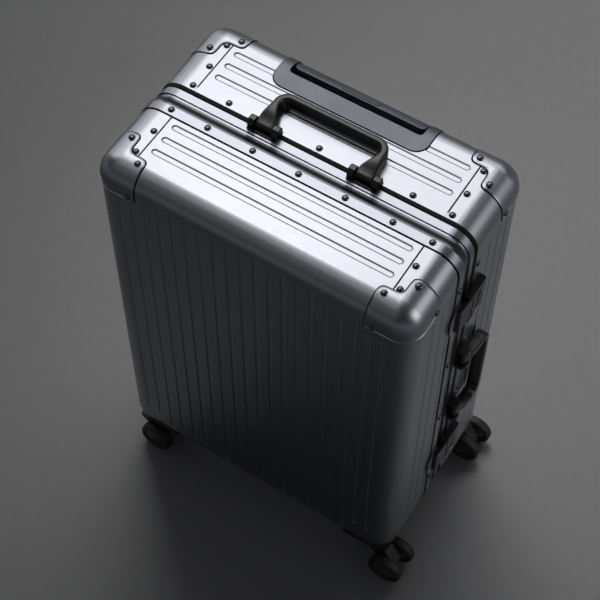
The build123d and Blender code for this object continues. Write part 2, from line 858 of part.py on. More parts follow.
# Block that holds the sleeves at the bottom
with BuildPart() as trolley_base:
    add(plan_block(base_half, y_rear - base_from_rear, z_bottom, z_bottom + base_h, 0))
    add(half_form(y_rear, y_seam, -sheet - press_depth - seat_gap), mode=Mode.INTERSECT)
keep(trolley_base, "trolley_base")

# Grip of the trolley with its push button
push_front = y_rear - pull_from_rear + push_from_pull


def push_block(grow, low, high):
    """Upright block in the plan of the push button."""
    with BuildPart() as block:
        with BuildSketch(level(low)):
            with Locations((0, push_front + push_w / 2)):
                bevelled(2 * push_half + 2 * grow, push_w + 2 * grow, push_cut)
        extrude(amount=high - low)
    return block.part


with BuildPart() as trolley_grip:
    add(plan_block(pull_half, y_rear - pull_from_rear, pull_low, z_top + edge_r, pull_r))
    add(half_form(y_rear, y_seam, 0), mode=Mode.INTERSECT)
    pocket_low = z_top - push_h - push_travel - run_gap
    add(push_block(run_gap, pocket_low, z_top + edge_r), mode=Mode.SUBTRACT)
keep(trolley_grip, "trolley_grip")

with BuildPart() as trolley_button:
    add(push_block(0, z_top - push_h, z_top + edge_r))
    add(half_form(y_rear, y_seam, push_proud), mode=Mode.INTERSECT)
keep(trolley_button, "trolley_button")

def lining_block(inset, floor, rim):
    """Bevelled block of a lining from its rim to its floor."""
    deep = 1 if floor > rim else -1
    with BuildPart() as block:
        with BuildSketch(upright(rim)):
            with Locations((0, z_mid)):
                bevelled(width - 2 * inset, height - 2 * inset, lining_corner)
        extrude(amount=rim - floor)
        face = block.faces().sort_by(Axis.Y)[-1 if deep > 0 else 0]
        chamfer(face.edges(), lining_fold)
    return block.part


# Fabric linings as pans inside the frames, and the crossed packing straps
with BuildPart() as front_lining:
    lining_out = frame_in + lining_gap
    front_rim = y_seam - lining_rim
    front_floor = y_front + lining_out
    add(lining_block(lining_out, front_floor, front_rim))
    add(lining_block(lining_out + lining_t, front_floor + lining_t, front_rim), mode=Mode.SUBTRACT)
keep(front_lining, "front_lining")

with BuildPart() as rear_lining:
    rear_lining_out = lining_gap - rear_in
    rear_rim = y_seam + lip_reach + lining_rim
    rear_floor = slot_front - tub_wall - lining_gap
    add(lining_block(rear_lining_out, rear_floor, rear_rim))
    add(lining_block(rear_lining_out + lining_t, rear_floor - lining_t, rear_rim), mode=Mode.SUBTRACT)
keep(rear_lining, "rear_lining")

with BuildPart() as packing_straps:
    strap_len = 2 * hypot(strap_half, strap_spread)
    lean = degrees(atan2(strap_spread, strap_half))
    with BuildSketch(upright(rear_floor - lining_t - seat_gap)):
        with Locations((0, z_mid)):
            Rectangle(strap_len, strap_w, rotation=lean)
            Rectangle(strap_len, strap_w, rotation=-lean)
    extrude(amount=strap_t)
keep(packing_straps, "packing_straps")
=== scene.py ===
import bpy
from math import atan2, cos, hypot, pi, radians, sin
from mathutils import Matrix, Vector


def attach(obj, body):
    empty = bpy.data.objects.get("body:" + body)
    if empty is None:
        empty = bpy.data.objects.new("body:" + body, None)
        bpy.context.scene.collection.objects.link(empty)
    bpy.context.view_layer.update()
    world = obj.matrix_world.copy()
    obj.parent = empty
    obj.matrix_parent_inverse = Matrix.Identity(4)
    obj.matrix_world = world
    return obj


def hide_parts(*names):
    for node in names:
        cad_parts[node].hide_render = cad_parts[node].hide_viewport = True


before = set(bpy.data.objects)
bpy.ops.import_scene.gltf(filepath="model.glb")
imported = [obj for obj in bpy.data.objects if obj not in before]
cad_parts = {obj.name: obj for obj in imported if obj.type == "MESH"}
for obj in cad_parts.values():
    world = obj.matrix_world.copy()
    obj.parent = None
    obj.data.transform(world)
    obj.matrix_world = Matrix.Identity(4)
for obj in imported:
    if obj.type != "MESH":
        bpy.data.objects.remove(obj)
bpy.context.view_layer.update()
MM = 0.001

# Sizes of the case, in millimetres, as in the part's source
HALF_W, HEIGHT, OUTLINE_R, EDGE_R = 220.0, 628.0, 32.0, 28.0
X_MID, Y_SEAM, Y_REAR, Z_BOTTOM = -7.75, -1.5, 135.5, 62.0
Z_TOP = Z_BOTTOM + HEIGHT
Z_MID = Z_BOTTOM + HEIGHT / 2
GUARD_LONG, GUARD_SHORT, GUARD_DROP, GUARD_PROUD = 62.0, 34.0, 41.0, 1.0
LATCH_Y = Y_SEAM + 20.0
LATCH_Z = {"upper": Z_TOP - 131.0, "lower": Z_BOTTOM + 123.0}
HALVES = (("front", -1, "front_half"), ("rear", 1, "rear_half"))


# ---------------------------------------------------------------- materials
class Nodes:
    """Short way to write the node tree of a material or of the world."""

    def __init__(self, owner, shader, coords):
        owner.use_nodes = True
        self.owner = owner
        self.tree = owner.node_tree
        self.shader = self.tree.nodes[shader]
        self.texture = self.tree.nodes.new("ShaderNodeTexCoord")
        self.coords = self.texture.outputs[coords]

    def link(self, value, socket):
        if isinstance(value, bpy.types.NodeSocket):
            self.tree.links.new(value, socket)
        else:
            socket.default_value = value

    def math(self, op, *values):
        n = self.tree.nodes.new("ShaderNodeMath")
        n.operation = op
        for value, socket in zip(values, n.inputs):
            self.link(value, socket)
        return n.outputs[0]

    def split(self, vector):
        n = self.tree.nodes.new("ShaderNodeSeparateXYZ")
        self.link(vector, n.inputs[0])
        return n.outputs[0], n.outputs[1], n.outputs[2]

    def xyz(self):
        return self.split(self.coords)

    def facing(self):
        """Parts of the surface's own direction, in the object's frame."""
        return self.split(self.texture.outputs["Normal"])

    def off(self, value, place):
        """Distance of value from a place given in millimetres."""
        return self.math("ABSOLUTE", self.math("SUBTRACT", value, place * MM))

    def near(self, value, place, half):
        """1 where value is within half of place, both in millimetres."""
        return self.math("COMPARE", value, place * MM, half * MM)

    def length(self, a, b):
        return self.math("SQRT", self.math("ADD", self.math("MULTIPLY", a, a), self.math("MULTIPLY", b, b)))

    def stretched(self, scale):
        n = self.tree.nodes.new("ShaderNodeMapping")
        self.link(self.coords, n.inputs["Vector"])
        n.inputs["Scale"].default_value = scale
        return n.outputs[0]

    def noise(self, scale, detail, vector=None):
        n = self.tree.nodes.new("ShaderNodeTexNoise")
        self.link(vector or self.coords, n.inputs["Vector"])
        n.inputs["Scale"].default_value = scale
        n.inputs["Detail"].default_value = detail
        n.inputs["Roughness"].default_value = 0.5
        return n.outputs["Fac"]

    def span(self, value, low, high, to_low, to_high):
        n = self.tree.nodes.new("ShaderNodeMapRange")
        self.link(value, n.inputs["Value"])
        for key, v in (("From Min", low), ("From Max", high), ("To Min", to_low), ("To Max", to_high)):
            n.inputs[key].default_value = v
        return n.outputs[0]

    def mix(self, factor, a, b):
        n = self.tree.nodes.new("ShaderNodeMix")
        n.data_type = "RGBA"
        self.link(factor, n.inputs["Factor"])
        for value, socket in ((a, n.inputs[6]), (b, n.inputs[7])):
            self.link(value if isinstance(value, bpy.types.NodeSocket) else (*value, 1.0), socket)
        return n.outputs[2]

    def mottle(self, fine, share, cloud, dark, light):
        """Colour from dark to light by a fine grain, with its share, and by broad clouds."""
        clouds = self.math("MULTIPLY", cloud, 1 - share)
        return self.mix(self.math("MULTIPLY_ADD", fine, share, clouds), dark, light)

    def bump(self, height, strength, distance):
        n = self.tree.nodes.new("ShaderNodeBump")
        n.inputs["Strength"].default_value = strength
        n.inputs["Distance"].default_value = distance
        self.link(height, n.inputs["Height"])
        socket = self.shader.inputs["Normal"]
        if socket.is_linked:
            self.link(socket.links[0].from_socket, n.inputs["Normal"])
        self.link(n.outputs[0], socket)

    def set(self, **values):
        for key, value in values.items():
            self.link(value, self.shader.inputs[key.replace("_", " ")])


def material(name):
    return Nodes(bpy.data.materials.new(name), "Principled BSDF", "Object")


def metal(name, light, dark, rough, seam_and_shade_marks=None, brush=0.04):
    """Anodised aluminium with a fine brushed grain, upright on the flanks and level elsewhere, with painted
    shade on the faces that look ahead or back.

    seam_and_shade_marks(n) gives a mask of dark joints and of painted shade, and the height of a raised edge,
    or None.
    """
    grain_scale, drawn_out = 900.0, 0.05
    painted_face_shade, seam_and_shade_black = (0.04, 0.04, 0.043), (0.006, 0.006, 0.007)
    n = material(name)
    aside, ahead = (n.math("ABSOLUTE", part) for part in n.facing()[:2])
    flank = n.math("GREATER_THAN", aside, 0.7)
    across = n.noise(grain_scale, 2.0, n.stretched((drawn_out, 1.0, 1.0)))
    along = n.noise(grain_scale, 2.0, n.stretched((1.0, 1.0, drawn_out)))
    grain = n.math("MULTIPLY_ADD", n.math("SUBTRACT", along, across), flank, across)
    base = n.mottle(grain, 0.3, n.noise(7.0, 3.0), dark, light)
    # Painted shade: faces that look ahead or back are darkened towards a dark grey, by up to 42 per cent
    base = n.mix(n.span(ahead, 0.6, 0.95, 0.0, 0.42), base, painted_face_shade)
    if seam_and_shade_marks:
        seam_and_shade_mask, edge = seam_and_shade_marks(n)
        # Dark joints at the seam, and on the frame painted shade in the valley beside the parting line, mixed
        # towards near black
        base = n.mix(seam_and_shade_mask, base, seam_and_shade_black)
        if edge:
            n.bump(edge, 0.9, 0.6 * MM)
    n.set(Base_Color=base, Metallic=1.0, Roughness=n.span(grain, 0.3, 0.7, rough - 0.02, rough + 0.03))
    n.bump(grain, brush, 0.2 * MM)
    return n.owner


def sheet_lines(n):
    """Seams of the sheet, and the rolled edges of the corner guards."""
    outer_round, inner_round, lap_in, flange_edge = 16.0, 14.0, 47.0, 30.15
    tray_flat, tray_r, tray_depth, tray_drop = 89.0, 18.0, 58.5, 46.0
    x, y, z = n.xyz()
    aside = n.off(x, X_MID)
    from_side = n.math("SUBTRACT", HALF_W * MM, aside)
    from_face = n.math("SUBTRACT", Y_REAR * MM, n.math("ABSOLUTE", y))

    # Guards: two lobes on each top corner, which reach down the upright edge
    def lobe(wide, deep):
        past_side = n.math("SUBTRACT", from_side, wide * MM)
        past_face = n.math("SUBTRACT", from_face, deep * MM)
        return n.math("SMOOTH_MAX", past_side, past_face, outer_round * MM)

    lobes = n.math(
        "SMOOTH_MIN", lobe(GUARD_LONG, GUARD_SHORT), lobe(GUARD_SHORT, GUARD_LONG), inner_round * MM
    )
    guard = n.math("MAXIMUM", lobes, n.math("SUBTRACT", (Z_TOP - GUARD_DROP) * MM, z))
    outline = n.near(guard, 0.5, 0.8)

    # Laps of the top, outside the guards and clear of the frames
    lap = n.near(from_side, lap_in, 1.0)
    for value, least in ((z, Z_TOP - 0.8), (guard, 0.0), (n.off(y, Y_SEAM + 10), 14)):
        lap = n.math("MULTIPLY", lap, n.math("GREATER_THAN", value, least * MM))

    # Edge of the front frame's flange, and the rounded outline of the trolley tray
    flange = n.near(y, Y_SEAM - flange_edge, 0.95)
    past_x = n.math("MAXIMUM", n.math("SUBTRACT", aside, tray_flat * MM), 0.0)
    past_y = n.math("MAXIMUM", n.math("SUBTRACT", (Y_REAR - tray_depth + tray_r) * MM, y), 0.0)
    tray = n.near(n.length(past_x, past_y), tray_r + 0.5, 0.9)
    tray = n.math("MULTIPLY", tray, n.math("GREATER_THAN", z, (Z_TOP - tray_drop) * MM))
    seam_and_shade_mask = n.math("MAXIMUM", n.math("MAXIMUM", outline, lap), n.math("MAXIMUM", flange, tray))
    return seam_and_shade_mask, n.span(guard, -1.9 * MM, -0.3 * MM, 1.0, 0.0)


def frame_valley_shade(n):
    """Shade of the valley beside the parting line."""
    valley = n.off(n.xyz()[1], Y_SEAM - 10)
    return n.span(valley, 3.5 * MM, 6.5 * MM, 0.72, 0.0), None


def plastic(name, light, dark, rough, grain_mm, strength, gloss=0.5, flake=0.0):
    """Moulded plastic with a spark-eroded texture; flake is the share of metal in a paint."""
    n = material(name)
    fine = n.noise(1 / (grain_mm * MM), 2.0)
    cloud = n.noise(14.0, 3.0)
    n.set(
        Base_Color=n.mottle(fine, 0.4, cloud, dark, light),
        Roughness=n.span(cloud, 0.3, 0.7, rough - 0.05, rough + 0.06),
        Specular_IOR_Level=gloss,
        Metallic=flake,
    )
    n.bump(fine, strength, 0.4 * MM)
    return n.owner


def cloth(name, light, dark, thread_mm):
    """Plain weave."""
    n = material(name)
    x, y, z = n.xyz()
    turns = pi / (thread_mm * MM)
    across = n.math("SINE", n.math("MULTIPLY", n.math("ADD", x, y), turns))
    along = n.math("SINE", n.math("MULTIPLY", z, turns))
    weave = n.math("MULTIPLY", across, along)
    cloud = n.noise(30.0, 4.0)
    factor = n.math("MULTIPLY_ADD", weave, 0.25, n.math("MULTIPLY_ADD", cloud, 0.6, 0.2))
    n.set(Base_Color=n.mix(factor, dark, light), Roughness=0.9, Sheen_Weight=0.25)
    n.bump(n.math("ADD", weave, n.math("MULTIPLY", cloud, 0.5)), 0.5, 0.3 * MM)
    return n.owner


def latch_finish(name):
    """Black lock case with a grey front plate, and a fine line above the dials."""
    line_rise, line_half_thick, line_half_long = 19.5, 0.75, 11.0
    n = material(name)
    _, y, z = n.xyz()
    plate = n.math("GREATER_THAN", n.facing()[0], 0.85)
    fine = n.noise(1400.0, 2.0)
    cloud = n.noise(40.0, 3.0)
    rise = n.math("MINIMUM", *(n.off(z, middle + line_rise) for middle in LATCH_Z.values()))
    line = n.math("LESS_THAN", rise, line_half_thick * MM)
    line = n.math("MULTIPLY", line, n.near(y, LATCH_Y, line_half_long))
    grey = n.mottle(fine, 0.4, cloud, (0.135, 0.137, 0.145), (0.185, 0.188, 0.198))
    grey = n.mix(line, grey, (0.008, 0.008, 0.009))
    black = n.mix(cloud, (0.006, 0.006, 0.007), (0.011, 0.011, 0.012))
    n.set(
        Base_Color=n.mix(plate, black, grey),
        Roughness=n.span(fine, 0.3, 0.7, 0.36, 0.46),
        Specular_IOR_Level=0.3,
    )
    n.bump(fine, 0.06, 0.3 * MM)
    return n.owner


# Each finish: its light and dark colours, then roughness and texture
SHEET = metal("sheet_metal", (0.420, 0.431, 0.472), (0.366, 0.376, 0.412), 0.33, sheet_lines)
FRAME = metal("frame_metal", (0.317, 0.328, 0.368), (0.283, 0.293, 0.328), 0.28, frame_valley_shade, brush=0.008)
TUBE = metal("tube_metal", (0.62, 0.62, 0.64), (0.56, 0.56, 0.58), 0.28)
STEEL = metal("plated_steel", (0.55, 0.55, 0.56), (0.45, 0.45, 0.46), 0.30)
RIVET = metal("rivet_metal", (0.14, 0.14, 0.147), (0.10, 0.10, 0.105), 0.10, brush=0.01)
BLACK = plastic(
    "satin_black", (0.0105, 0.0122, 0.0150), (0.0060, 0.0070, 0.0088), 0.32, 0.9, 0.06, gloss=0.6
)
GREY = plastic("trolley_paint", (0.162, 0.180, 0.213), (0.124, 0.138, 0.163), 0.40, 1.1, 0.10, flake=0.55)
HOUSING = plastic("housing_texture", (0.026, 0.026, 0.028), (0.016, 0.016, 0.017), 0.50, 1.0, 0.25)
RUBBER = plastic("tyre_rubber", (0.022, 0.022, 0.023), (0.014, 0.014, 0.015), 0.60, 1.4, 0.20)
HUB = plastic("wheel_hub", (0.060, 0.061, 0.064), (0.045, 0.045, 0.048), 0.42, 0.8, 0.10)
STRIP = plastic("strip_rubber", (0.009, 0.009, 0.010), (0.005, 0.005, 0.006), 0.55, 1.2, 0.15, gloss=0.15)
LATCH = latch_finish("latch_finish")
DIAL = plastic("dial_finish", (0.16, 0.16, 0.165), (0.12, 0.12, 0.125), 0.40, 0.6, 0.08)
LINING = cloth("lining_weave", (0.125, 0.125, 0.130), (0.075, 0.075, 0.080), 0.5)
WEBBING = cloth("strap_weave", (0.030, 0.030, 0.032), (0.014, 0.014, 0.015), 0.8)


def node_material(name):
    """Material of a CAD node, by its name."""
    if name.endswith("_shell"):
        return SHEET
    if name in ("front_frame", "rear_frame", "latch_keepers"):
        return FRAME
    if name == "frame_strip":
        return STRIP
    if name.endswith("_hinge_leaves"):
        return STEEL
    if name.endswith("_tubes") or name == "trolley_sleeves":
        return TUBE
    if name.endswith(("_latch_body", "_latch_lever")):
        return LATCH
    if "_dial_" in name:
        return DIAL
    if name.endswith(("_housings", "_fork")):
        return HOUSING
    if name in ("trolley_tray", "trolley_grip", "trolley_base", "trolley_button"):
        return GREY
    if name.endswith("_side_feet"):
        return RUBBER
    return BLACK


for name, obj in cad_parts.items():
    obj.data.materials.clear()
    obj.data.materials.append(node_material(name))


# ---------------------------------------------------------------- meshes
def piece(name, verts, faces, finish, body, smooth=True):
    """New mesh piece in the row frame, from points in millimetres, riding on a body."""
    mesh = bpy.data.meshes.new(name)
    mesh.from_pydata([Vector(v) * MM for v in verts], [], faces)
    mesh.validate()
    for p in mesh.polygons:
        p.use_smooth = smooth
    mesh.materials.append(finish)
    obj = bpy.data.objects.new(name, mesh)
    bpy.context.scene.collection.objects.link(obj)
    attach(obj, body)
    return obj


def circle(count):
    """Directions evenly round a circle."""
    angles = [2 * pi * i / count for i in range(count)]
    return [(cos(a), sin(a)) for a in angles]


def skin(rings, verts, faces, closed=False, start_cap=True, end_cap=True, flip=False):
    """Rings of points added to verts, and the skin between them and its end caps to faces.

    A closed skin joins its last ring to its first and has no caps.
    """
    first, count = len(verts), len(rings[0])
    verts += [point for ring in rings for point in ring]
    added = []
    for k in range(len(rings) if closed else len(rings) - 1):
        a, b = first + k * count, first + (k + 1) % len(rings) * count
        for i in range(count):
            j = (i + 1) % count
            added.append((a + i, a + j, b + j, b + i))
    if start_cap and not closed:
        added.append(tuple(first + i for i in reversed(range(count))))
    if end_cap and not closed:
        last = first + (len(rings) - 1) * count
        added.append(tuple(last + i for i in range(count)))
    faces += [face[::-1] for face in added] if flip else added


def lathe(profile, origin, axis, count, verts, faces):
    """Turned form: profile is (radius, height) along axis from origin, and may end where it starts."""
    axis = Vector(axis).normalized()
    right = axis.orthogonal().normalized()
    ahead = axis.cross(right)
    closed = profile[0] == profile[-1]
    rings = [
        [Vector(origin) + axis * h + (right * c + ahead * s) * r for c, s in circle(count)]
        for r, h in (profile[:-1] if closed else profile)
    ]
    skin(rings, verts, faces, closed)


# Rivets: rows beside the parting line, on the corner guards and on the lapped tabs
UP, DOWN, RIGHT, LEFT = (0, 0, 1), (0, 0, -1), (1, 0, 0), (-1, 0, 0)
DOME = ((4.4, -0.05), (4.35, 0.4), (4.0, 1.1), (3.3, 1.75), (2.3, 2.25), (1.2, 2.52), (0.3, 2.6))
DOME_SIDES = 20
BRACKET_X = 63.6  # the brackets of the top handle take the place of these two in the rear row
ROW_X = (0.0, BRACKET_X, -BRACKET_X, 127.2, -127.2, 179.3, -179.3)
ROW_Z = (562.0, 390.0, 252.0, 80.0)
ROWS = {"front": (-22.0, 1.5), "rear": (24.0, 0.0)}  # from the parting line, above the sheet
GUARD_RIVETS = ((25, 53, GUARD_PROUD), (53, 25, GUARD_PROUD), (40.5, 39, 0.0))  # from side and face, above top
TAB_X, TAB_Y = 179, 59
FACE_X, FACE_DROP, FLANK_IN, FLANK_DROP = 168, 36, 54, 35
for half, out, body in HALVES:
    offset, lift = ROWS[half]
    row = Y_SEAM + offset
    face = out * Y_REAR
    places = []
    for x in ROW_X:
        if half == "front" or abs(x) != BRACKET_X:
            places.append(((X_MID + x, row, Z_TOP + lift), UP))
        places.append(((X_MID + x, row, Z_BOTTOM - lift), DOWN))
    for z in ROW_Z:
        places.append(((X_MID + HALF_W + lift, row, Z_BOTTOM + z), RIGHT))
        places.append(((X_MID - HALF_W - lift, row, Z_BOTTOM + z), LEFT))
    for side, flank in ((-1, LEFT), (1, RIGHT)):
        edge = X_MID + side * HALF_W
        for from_side, from_face, rise in GUARD_RIVETS:
            places.append(((edge - side * from_side, face - out * from_face, Z_TOP + rise), UP))
        places.append(((X_MID + side * TAB_X, Y_SEAM + out * TAB_Y, Z_TOP), UP))
        places.append(((X_MID + side * FACE_X, face + out * GUARD_PROUD, Z_TOP - FACE_DROP), (0, out, 0)))
        places.append(((edge + side * GUARD_PROUD, face - out * FLANK_IN, Z_TOP - FLANK_DROP), flank))
    verts, faces = [], []
    for point, away in places:
        lathe(DOME, point, away, DOME_SIDES, verts, faces)
    piece(f"{half}_rivets", verts, faces, RIVET, body)

# Rolled lower edges of the corner guards: slim beads round the upright corners
BEAD_R, BEAD_SIDES, BEAD_STEP, BEAD_POINTS, BEAD_ARC = 0.75, 8, 8, 5, 12
bead_line = [
    (HALF_W - GUARD_LONG + BEAD_STEP * i, Y_REAR + GUARD_PROUD, 0.0, 1.0) for i in range(BEAD_POINTS)
]
for i in range(BEAD_ARC + 1):
    a = pi / 2 * i / BEAD_ARC
    r = EDGE_R + GUARD_PROUD
    bead_line.append((HALF_W - EDGE_R + r * sin(a), Y_REAR - EDGE_R + r * cos(a), sin(a), cos(a)))
bead_line += [
    (HALF_W + GUARD_PROUD, Y_REAR - GUARD_LONG + BEAD_STEP * i, 1.0, 0.0)
    for i in reversed(range(BEAD_POINTS))
]
for half, out, body in HALVES:
    verts, faces = [], []
    for side in (-1, 1):
        rings = []
        for x, y, nx, ny in bead_line:
            section = [(BEAD_R * c, BEAD_R * s) for c, s in circle(BEAD_SIDES)]
            rings.append([
                (X_MID + side * (x + nx * r), out * (y + ny * r), Z_TOP - GUARD_DROP + h) for r, h in section
            ])
        skin(rings, verts, faces, flip=side == out)
    piece(f"{half}_guard_beads", verts, faces, TUBE, body)

# Key plates of the locks: small dished ovals under the buttons, as rings of (size, rise)
KEY_DISH = ((1.0, -0.05), (1.0, 0.35), (0.92, 0.55), (0.78, 0.55), (0.68, 0.25), (0.25, 0.2))
KEY_HALF_Y, KEY_HALF_Z, KEY_DROP, KEY_SIDES = 5.6, 2.5, 21.8, 28
LATCH_PROUD = 9.5
for place, z in LATCH_Z.items():
    rings = [
        [
            (X_MID + HALF_W + LATCH_PROUD + rise, LATCH_Y + KEY_HALF_Y * size * c,
             z - KEY_DROP + KEY_HALF_Z * size * s)
            for c, s in circle(KEY_SIDES)
        ]
        for size, rise in KEY_DISH
    ]
    verts, faces = [], []
    skin(rings, verts, faces, start_cap=False)
    piece(f"{place}_key_plate", verts, faces, STEEL, "rear_half")

# Wheels with rounded tyres and hub caps, in place of the plain discs
SWIVEL_X, SWIVEL_Y, TRAIL, WHEEL_R, WHEEL_IN = 200.0, 116.0, 20.0, 26.0, 10.5
TYRE_SIDES, HUB_SIDES, AXLE_SIDES, AXLE_R, AXLE_PAST = 48, 32, 20, 3.0, 2
TYRE_PROFILE = (
    (19.0, 0.4), (21.5, 0.0), (23.6, 0.5), (25.2, 1.8), (26.0, 3.8), (26.0, 11.2), (25.2, 13.2),
    (23.6, 14.5), (21.5, 15.0), (19.4, 14.5), (18.8, 13.4), (18.8, 3.0), (19.0, 0.4),
)
HUB_PROFILE = (
    (18.7, 1.0), (18.7, 13.0), (17.0, 13.6), (15.6, 12.6), (8.0, 12.6), (7.0, 14.2), (2.0, 14.6), (0.4, 14.6),
)
AXLE_PROFILE = ((AXLE_R, -WHEEL_IN - AXLE_PAST), (AXLE_R, WHEEL_IN + AXLE_PAST))
for half, out, _ in HALVES:
    for hand, side in (("left", -1), ("right", 1)):
        name = f"{half}_{hand}"
        middle = Vector((X_MID + side * SWIVEL_X + TRAIL, out * SWIVEL_Y, WHEEL_R))
        tyre_verts, tyre_faces, hub_verts, hub_faces = [], [], [], []
        for way in (-1, 1):
            axis = Vector((0, way, 0))
            start = middle + axis * WHEEL_IN
            lathe(TYRE_PROFILE, start, axis, TYRE_SIDES, tyre_verts, tyre_faces)
            lathe(HUB_PROFILE, start, axis, HUB_SIDES, hub_verts, hub_faces)
        lathe(AXLE_PROFILE, middle, (0, 1, 0), AXLE_SIDES, hub_verts, hub_faces)
        tyres = piece(f"{name}_tyres", tyre_verts, tyre_faces, RUBBER, f"{name}_wheel_pair")
        piece(f"{name}_hubs", hub_verts, hub_faces, HUB, f"{name}_wheel_pair")
        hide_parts(f"{name}_wheels")

# Carry handles: bails with rounded bends and edges, in place of the plain bails. The section is
# square with round corners at the hubs and has a slanted inner side at the grip.
OUTER_SIDE = (
    (-0.4, 1.0), (-0.76, 0.97), (-0.90, 0.89), (-0.98, 0.74), (-1.0, 0.5), (-1.0, 0.0), (-1.0, -0.5),
    (-0.98, -0.74), (-0.90, -0.89), (-0.76, -0.97), (-0.4, -1.0), (0.4, -1.0), (0.76, -0.97), (0.90, -0.89),
    (0.98, -0.76),
)
SQUARE = (
    (1.0, -0.6), (1.0, -0.35), (1.0, -0.1), (1.0, 0.2), (1.0, 0.5), (0.98, 0.74), (0.90, 0.89), (0.76, 0.97),
    (0.4, 1.0), (0.0, 1.0), *OUTER_SIDE,
)
SLANT = (
    (1.0, -0.62), (0.99, -0.44), (0.94, -0.28), (0.77, 0.06), (0.60, 0.38), (0.44, 0.68), (0.34, 0.84),
    (0.22, 0.95), (0.06, 1.0), (-0.15, 1.0), *OUTER_SIDE,
)
SIDE_HANDLE_DROP = 19.0


def bail(name, node, body, base):
    """base(u, v, w): along the handle, behind the parting line, out of the case."""
    hub_u, hub_v, hub_w, hub_r, hub_half, leg_start = 68.9, 12.6, 7.0, 4.9, 12.2, 5.5
    grip_u, grip_v, grip_w, deep, leg_half, grip_half = 70.9, 58.9, 10.2, 7.9, 6.6, 6.4
    bend, thinnest = 12.5, 0.6
    hub_steps, leg_steps, bend_steps = 6, 12, 12

    # Half of the middle line: point, half width, half depth and direction
    line = []
    for i in range(hub_steps + 1):
        v = hub_v - hub_r * cos(pi / 2 * i / hub_steps) * 0.98
        half_deep = max(thinnest, hub_r * sin(pi / 2 * max(i, 0.5) / hub_steps))
        line.append((-hub_u, v, hub_w, hub_half, half_deep, 0.0, 1.0))
    for i in range(1, leg_steps + 1):
        t = i / leg_steps
        ease = t * t * (3 - 2 * t)
        swell = 1 - (1 - t) ** 3
        line.append((
            -hub_u + (hub_u - grip_u) * ease, hub_v + leg_start + (grip_v - bend - hub_v - leg_start) * t,
            hub_w + (grip_w - hub_w) * swell, hub_half + (leg_half - hub_half) * ease,
            hub_r + (deep - hub_r) * swell, 0.0, 1.0,
        ))
    for i in range(1, bend_steps + 1):
        t = i / bend_steps
        a = pi / 2 * t
        line.append((
            -grip_u + bend * (1 - cos(a)), grip_v - bend + bend * sin(a), grip_w,
            leg_half + (grip_half - leg_half) * t, deep, sin(a), cos(a),
        ))
    line.append((0.0, grip_v, grip_w + 0.05, grip_half, deep, 1.0, 0.0))
    line += [(-u, v, w, a, b, tu, -tv) for u, v, w, a, b, tu, tv in reversed(line[:-1])]

    rings = []
    for i, (u, v, w, a, b, tu, tv) in enumerate(line):
        from_end = min(i, len(line) - 1 - i)
        t = min(1.0, max(0.0, (from_end - hub_steps) / leg_steps))
        ring = []
        for (p, q), (slant_p, slant_q) in zip(SQUARE, SLANT):
            p, q = a * (p + (slant_p - p) * t), b * (q + (slant_q - q) * t)
            ring.append(base(u + p * tv, v - p * tu, w + q))
        rings.append(ring)
    verts, faces = [], []
    skin(rings, verts, faces)
    obj = piece(name, verts, faces, BLACK, body)
    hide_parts(node)


bail("top_bail", "top_handle", "top_carry_handle", lambda u, v, w: (X_MID + u, Y_SEAM + v, Z_TOP + w))
bail("side_bail", "side_handle", "side_carry_handle",
     lambda u, v, w: (X_MID + HALF_W + w, Y_SEAM + v, Z_MID - SIDE_HANDLE_DROP - u))


# Linings: fabric pans with rounded corners, a soft fold to the floor and a bound rim
def rounded_loop(half_x, half_z, r, y, steps=8):
    """Closed loop of points in a plane of constant y."""
    pts = []
    for sx, sz, start in ((1, 1, 0.0), (-1, 1, pi / 2), (-1, -1, pi), (1, -1, 3 * pi / 2)):
        for i in range(steps + 1):
            a = start + pi / 2 * i / steps
            pts.append((X_MID + sx * (half_x - r) + r * cos(a), y, Z_MID + sz * (half_z - r) + r * sin(a)))
    return pts


def lining(name, node, body, inset, rim, floor):
    """Pan from the rim to the floor, both places on y, at an inset from the case's outline."""
    way = 1 if floor > rim else -1
    deep = abs(floor - rim)
    corner_r, fold_r, wall, rim_wide, wall_steps, fold_steps = 26, 19, 0.9, 10, 5, 8

    # Rows of further inset, depth from the rim and corner radius
    rows = [(1.9, 0, corner_r), (0.2, 0, corner_r), (0.2, 8, corner_r), (wall, rim_wide, corner_r)]
    for i in range(1, wall_steps + 1):
        ripple = 0.25 * sin(i * 2.1)
        rows.append((wall + ripple, rim_wide + (deep - 32) * i / wall_steps, corner_r))
    for i in range(1, fold_steps + 1):
        a = pi / 2 * i / fold_steps
        depth = deep - 1.0 - fold_r * (1 - sin(a))
        rows.append((wall + fold_r * (1 - cos(a)), depth, corner_r - 14 * (1 - cos(a))))
    rows += [(60, deep - 1.0, 10), (61.5, deep - 1.7, 10), (63, deep - 1.0, 10), (140, deep - 1.2, 8)]
    loops = [
        rounded_loop(HALF_W - inset - extra, HEIGHT / 2 - inset - extra, r, rim + way * depth)
        for extra, depth, r in rows
    ]
    verts, faces = [], []
    skin(loops, verts, faces, start_cap=False, flip=way < 0)
    obj = piece(name, verts, faces, LINING, body)
    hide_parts(node)
    deep *= MM


FRONT_INSET, REAR_INSET = 7.8, 5.9
FRONT_FLOOR, REAR_FLOOR = -Y_REAR + FRONT_INSET, Y_SEAM + 101.2
lining("front_lining_cloth", "front_lining", "front_half", FRONT_INSET, Y_SEAM - 1.0, FRONT_FLOOR)
lining("rear_lining_cloth", "rear_lining", "rear_half", REAR_INSET, Y_SEAM + 7.0, REAR_FLOOR)

